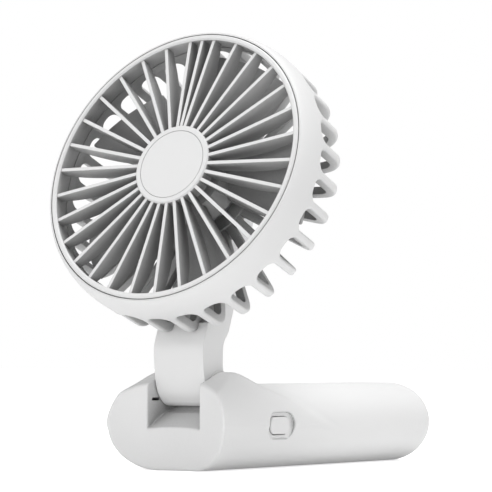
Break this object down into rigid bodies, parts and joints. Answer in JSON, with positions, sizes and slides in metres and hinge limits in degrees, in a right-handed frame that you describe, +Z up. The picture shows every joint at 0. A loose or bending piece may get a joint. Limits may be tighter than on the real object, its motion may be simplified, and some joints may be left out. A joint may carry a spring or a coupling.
{
  "type": "handheld electric fan",
  "caption": "Rechargeable folding handheld fan whose flat handle doubles as a desk stand, with a round grille on a hinged neck.",
  "frame": {"origin": "on the flat underside of the handle, straight below the hinge axis", "axes": "+Z up, +Y along the handle from the hinge to its closed end, +X along the hinge axis; the head faces -Y and leans back"},
  "size_m": [0.106, 0.1621, 0.1521],
  "materials": {
    "white_shell": "satin",
    "impeller_white": "satin",
    "button_white": "satin",
    "steel": "satin",
    "brass_bush": "satin",
    "nylon": "matte",
    "copper": "gloss",
    "board_green": "satin",
    "component_black": "satin",
    "cell_wrap": "gloss",
    "foam": "matte",
    "wire": "satin",
    "magnet": "matte",
    "alloy": "satin"
  },
  "bodies": {
    "handle": {"handle_housing": "white_shell", "base_cover": "white_shell", "base_cover_screws": "steel", "battery_cells": "cell_wrap", "battery_cradle": "component_black", "battery_tabs": "steel", "battery_foam_pad": "foam", "main_circuit_board": "board_green", "board_chips": "component_black", "board_inductor": "component_black", "tact_switch": "component_black", "usb_charging_socket": "steel", "charging_board": "board_green", "hinge_axles": "steel", "friction_washers": "nylon", "spring_washers": "steel", "handle_cable": "wire"},
    "head": {"hinge_bushes": "brass_bush", "neck_shell": "white_shell", "neck_rear_cover": "white_shell", "neck_cover_screws": "steel", "rear_cage": "white_shell", "front_grille": "white_shell", "hub_cap": "white_shell", "motor_base": "alloy", "stator_core": "steel", "stator_coils": "copper", "motor_board": "board_green", "motor_bearings": "steel", "hub_screws": "steel", "motor_cable": "wire"},
    "fan_rotor": {"impeller": "impeller_white", "rotor_can": "steel", "magnet_ring": "magnet", "motor_shaft": "steel", "shaft_circlip": "steel"},
    "button": {"power_button": "button_white"}
  },
  "joints": [
    {"name": "neck_fold", "type": "hinge", "parent": "handle", "child": "head", "pos_m": [0, 0, 0.0285], "axis": [1, 0, 0], "range_deg": [-68, 90]},
    {"name": "impeller_spin", "type": "hinge", "parent": "head", "child": "fan_rotor", "pos_m": [0, -0.0139, 0.1049], "axis": [0, -0.9298, 0.3681], "continuous": true},
    {"name": "button_press", "type": "slide", "parent": "handle", "child": "button", "axis": [-1, 0, 0], "range_m": [0, 0.0006], "stiffness_N_per_m": 800}
  ]
}
